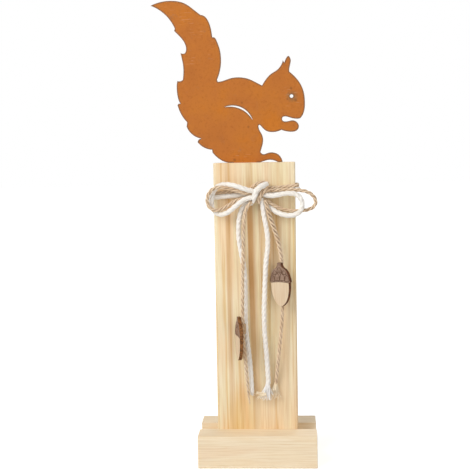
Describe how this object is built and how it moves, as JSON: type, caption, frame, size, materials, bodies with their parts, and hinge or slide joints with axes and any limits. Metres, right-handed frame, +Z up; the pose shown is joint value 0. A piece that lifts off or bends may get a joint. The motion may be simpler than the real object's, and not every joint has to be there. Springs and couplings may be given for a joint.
{
  "type": "squirrel figurine",
  "caption": "Flat rusted steel squirrel on an upright pine board in a grooved pine block, with a jute and cotton bow tied round the board and flat wooden acorns hanging from it.",
  "frame": {"origin": "middle of the base block's underside, on the surface that it stands on", "axes": "+Z up along the board; +X across the board, to the right as seen from the bow's side, the way the squirrel looks; +Y towards the back"},
  "size_m": [0.1401, 0.069, 0.3986],
  "materials": {
    "pine_block": "planed, bare",
    "pine_board": "planed, bare",
    "rusted_steel": "matt rust",
    "plated_steel": "zinc plated",
    "jute": "twisted twine",
    "cotton": "soft cord",
    "plywood": "laser cut, engraved cap",
    "glue": "set hot glue"
  },
  "bodies": {
    "stand": {"base_block": "pine_block", "post_board": "pine_board", "squirrel_plate": "rusted_steel", "base_screws": "plated_steel", "jute_band": "jute", "cotton_band": "cotton", "jute_knot": "jute", "jute_knot_turn": "jute", "cotton_knot": "cotton", "left_jute_loop": "jute", "right_jute_loop": "jute", "left_cotton_loop": "cotton", "right_cotton_loop": "cotton", "left_jute_tail": "jute", "right_jute_tail": "jute", "left_cotton_tail": "cotton", "right_cotton_tail": "cotton"},
    "left_acorn_body": {"left_acorn": "plywood", "left_glue_bead": "glue"},
    "right_acorn_body": {"right_acorn": "plywood", "right_glue_bead": "glue"}
  },
  "joints": [
    {"name": "left_acorn_turn", "type": "hinge", "parent": "stand", "child": "left_acorn_body", "pos_m": [-0.0113, -0.0221, 0.1186], "axis": [0, 0, 1], "range_deg": [0, 110]},
    {"name": "right_acorn_turn", "type": "hinge", "parent": "stand", "child": "right_acorn_body", "pos_m": [0.0231, -0.0183, 0.1646], "axis": [0, 0, 1], "range_deg": [-5, 78]}
  ]
}
